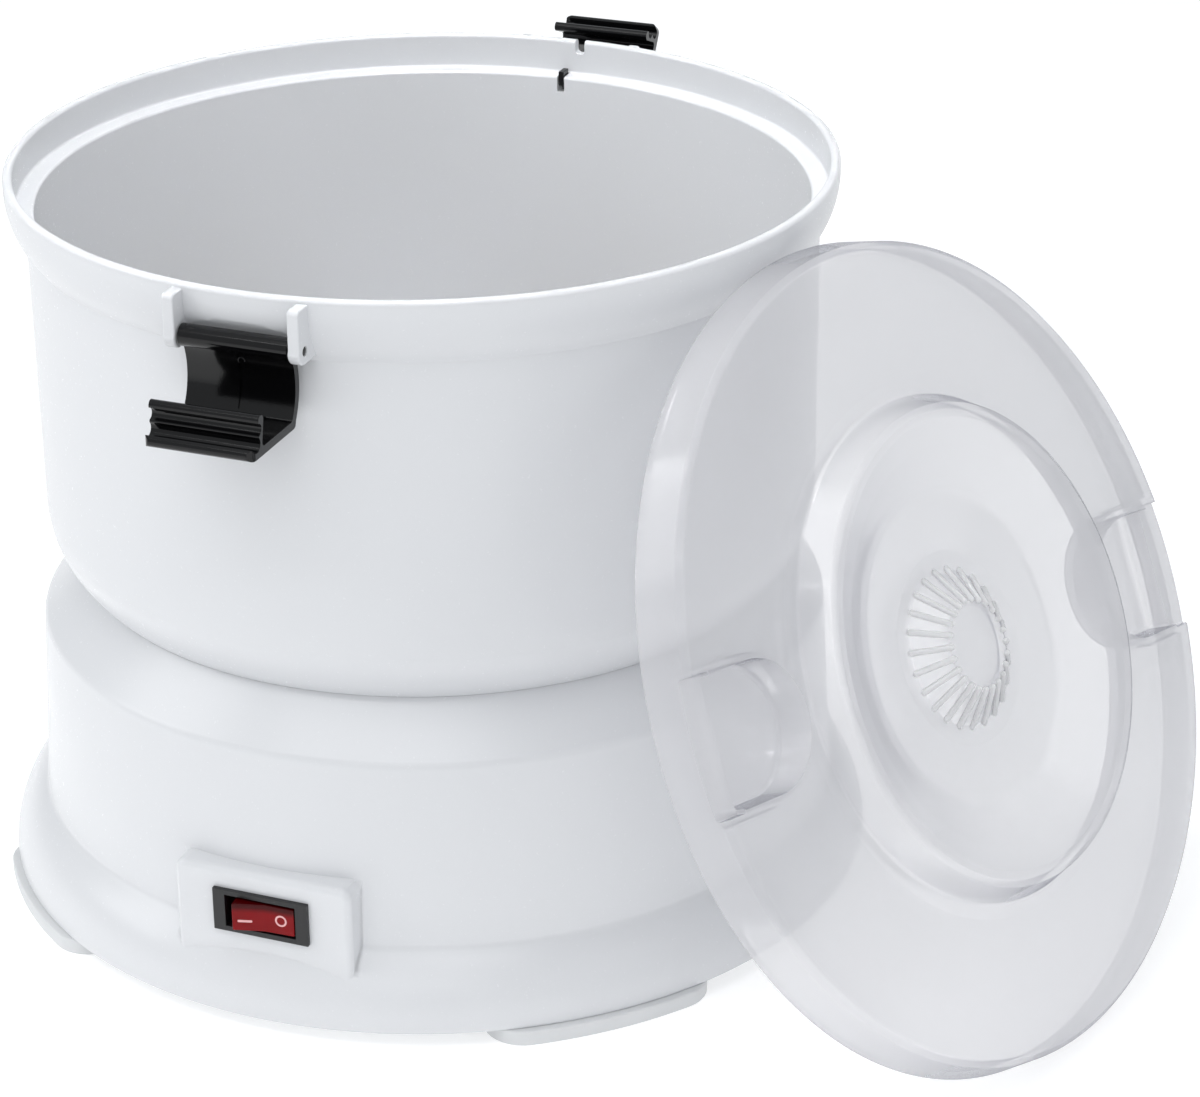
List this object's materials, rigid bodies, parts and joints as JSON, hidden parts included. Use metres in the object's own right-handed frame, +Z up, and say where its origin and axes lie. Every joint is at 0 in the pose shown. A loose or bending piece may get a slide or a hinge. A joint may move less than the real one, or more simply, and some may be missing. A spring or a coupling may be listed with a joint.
{
  "type": "electric potato peeler",
  "caption": "Motor base with a removable round tub, a turning abrasive disc, flip latches and a clear lid that leans beside it.",
  "frame": {"origin": "on the tub's and the disc's axis, at the height of the table that the feet stand on", "axes": "+Z up along the disc's axis, -Y towards the switch and the front latch, +X to the switch's right side seen from the front"},
  "size_m": [0.3792, 0.3196, 0.229],
  "materials": {
    "white_abs": "glossy moulded white",
    "grey_cover": "plain moulded",
    "foot_rubber": "soft light grey",
    "steel": "turned steel",
    "black_plastic": "glossy black",
    "inlet_rubber": "matt black",
    "red_rocker": "translucent red",
    "motor_steel": "zinc plated",
    "winding": "lacquered copper and iron",
    "nylon": "natural nylon",
    "brass": "plain",
    "plate_steel": "zinc plated sheet",
    "grit": "coarse grit",
    "clear_lid": "clear polished"
  },
  "bodies": {
    "base": {"base_housing": "white_abs", "bottom_cover": "grey_cover", "feet": "foot_rubber", "cover_screws": "steel", "switch_body": "black_plastic", "cord_inlet": "inlet_rubber", "motor_case": "motor_steel", "motor_screws": "steel", "gear_plate": "plate_steel", "plate_screws": "steel", "idler_pin": "steel", "lower_bush": "brass", "upper_bush": "brass", "spindle_seal": "inlet_rubber", "tub_seal": "inlet_rubber", "safety_switch": "black_plastic"},
    "switch_rocker": {"switch_rocker": "red_rocker"},
    "motor_rotor": {"motor_rotor": "winding", "motor_shaft": "steel", "motor_fan": "nylon", "motor_pinion": "brass"},
    "idler": {"idler_gear": "nylon"},
    "disc": {"spindle": "steel", "drive_wheel": "nylon", "spindle_clip": "steel", "drive_pin": "steel", "peeling_disc": "white_abs", "disc_grit": "grit", "disc_nut": "white_abs"},
    "tub": {"tub": "white_abs", "rod_cover": "white_abs", "front_latch_pin": "steel", "rear_latch_pin": "steel"},
    "front_latch": {"front_latch": "black_plastic"},
    "rear_latch": {"rear_latch": "black_plastic"},
    "interlock_rod": {"interlock_rod": "black_plastic", "rod_spring": "steel"},
    "switch_plunger": {"switch_plunger": "red_rocker"},
    "lid": {"lid": "clear_lid"}
  },
  "joints": [
    {"name": "rocker_tilt", "type": "hinge", "parent": "base", "child": "switch_rocker", "pos_m": [0, -0.1216, 0.0361], "axis": [0, 0, -1], "range_deg": [0, 17]},
    {"name": "disc_spin", "type": "hinge", "parent": "base", "child": "disc", "pos_m": [0, 0, 0.1], "axis": [0, 0, 1], "continuous": true},
    {"name": "idler_spin", "type": "hinge", "parent": "base", "child": "idler", "pos_m": [0, 0.0555, 0.07], "axis": [0, 0, 1], "continuous": true},
    {"name": "motor_spin", "type": "hinge", "parent": "base", "child": "motor_rotor", "pos_m": [-0.031, 0.0555, 0.04], "axis": [0, 0, 1], "continuous": true},
    {"name": "tub_turn", "type": "hinge", "parent": "base", "child": "tub", "pos_m": [0, 0, 0.101], "axis": [0, 0, 1], "range_deg": [0, 12]},
    {"name": "front_latch_swing", "type": "hinge", "parent": "tub", "child": "front_latch", "pos_m": [0, -0.1264, 0.215], "axis": [-1, 0, 0], "range_deg": [0, 180]},
    {"name": "rear_latch_swing", "type": "hinge", "parent": "tub", "child": "rear_latch", "pos_m": [0, 0.1264, 0.215], "axis": [1, 0, 0], "range_deg": [-36, 122]},
    {"name": "rod_press", "type": "slide", "parent": "tub", "child": "interlock_rod", "axis": [0, 0, -1], "range_m": [0, 0.0016], "stiffness_N_per_m": 400, "springref_m": -0.001, "deforming": ["rod_spring"]},
    {"name": "plunger_press", "type": "slide", "parent": "base", "child": "switch_plunger", "axis": [0, 0, -1], "range_m": [0, 0.0016], "stiffness_N_per_m": 200, "springref_m": -0.0005},
    {"name": "lid_carry", "type": "slide", "parent": "base", "child": "lid", "axis": [0.965, -0.2622, 0], "range_m": [0, 0.12]}
  ],
  "couplings": [
    {"joint": "idler_spin", "follows": "disc_spin", "ratio": -4.2857},
    {"joint": "motor_spin", "follows": "disc_spin", "ratio": 17.857},
    {"joint": "plunger_press", "follows": "rod_press", "ratio": 1}
  ]
}
